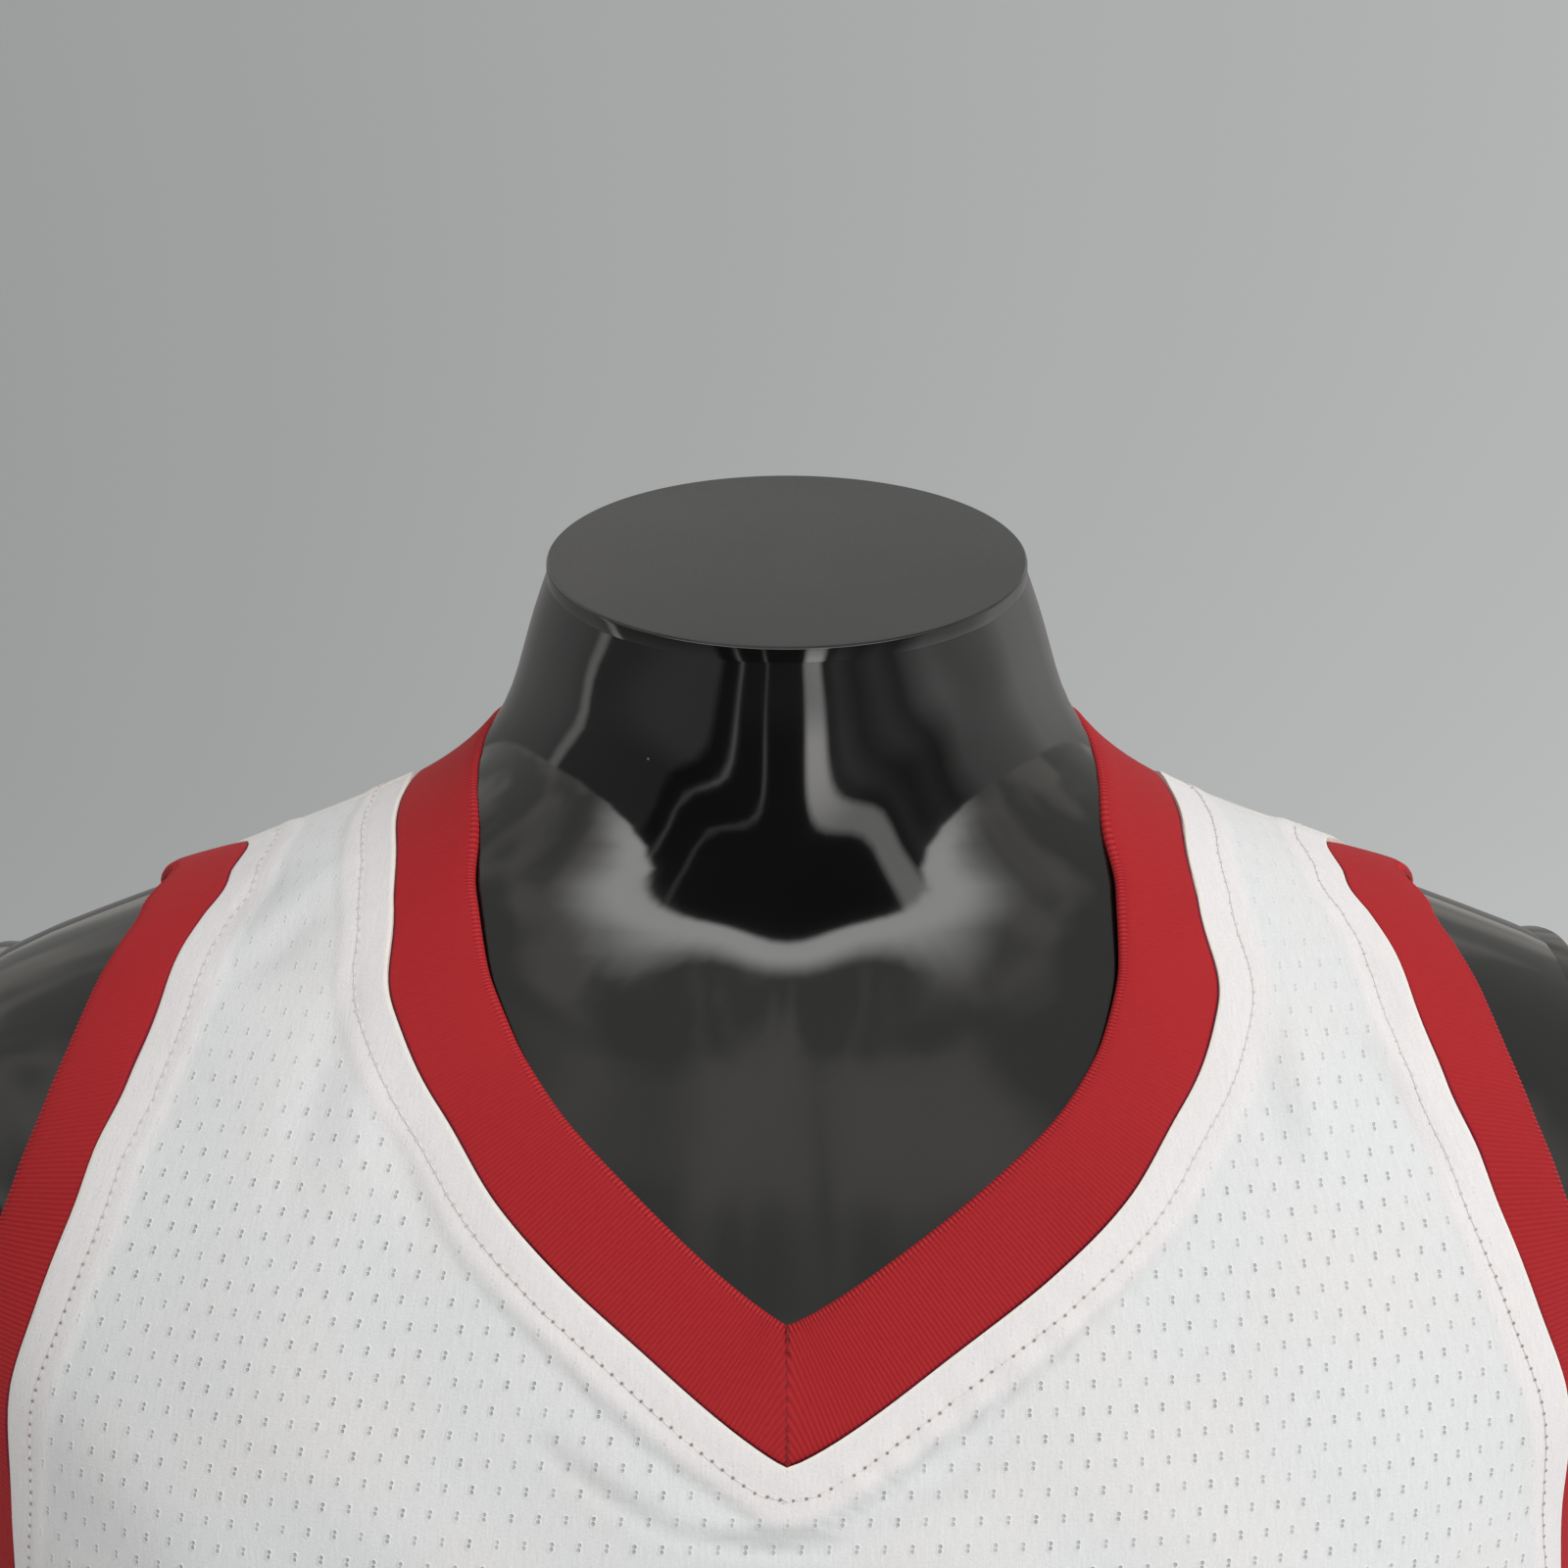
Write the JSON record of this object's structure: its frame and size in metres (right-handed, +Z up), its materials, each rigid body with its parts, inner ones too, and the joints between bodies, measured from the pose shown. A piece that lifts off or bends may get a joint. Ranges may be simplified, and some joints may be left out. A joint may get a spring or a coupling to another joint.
{
  "type": "basketball jersey on a torso display form",
  "caption": "Sleeveless V-neck mesh basketball jersey with ribbed bands, worn open and hanging from the shoulders of a limbless torso display form.",
  "frame": {"origin": "centre of the torso form's flat base, on the surface that it stands on", "axes": "+Z up, -Y to the front of the jersey, +X to the wearer's left"},
  "size_m": [0.4292, 0.2819, 0.8464],
  "materials": {
    "mesh_knit": "white polyester mesh knit with small slit holes",
    "rib_knit": "deep red fine rib knit",
    "form_gloss": "polished black",
    "form_satin": "satin black"
  },
  "bodies": {
    "root": {"body_front": "mesh_knit", "body_back": "mesh_knit", "neckband": "rib_knit", "armband_left": "rib_knit", "armband_right": "rib_knit", "form_torso": "form_gloss", "form_neck_cap": "form_satin", "form_shoulder_plate_left": "form_satin", "form_shoulder_plate_right": "form_satin"}
  },
  "joints": []
}
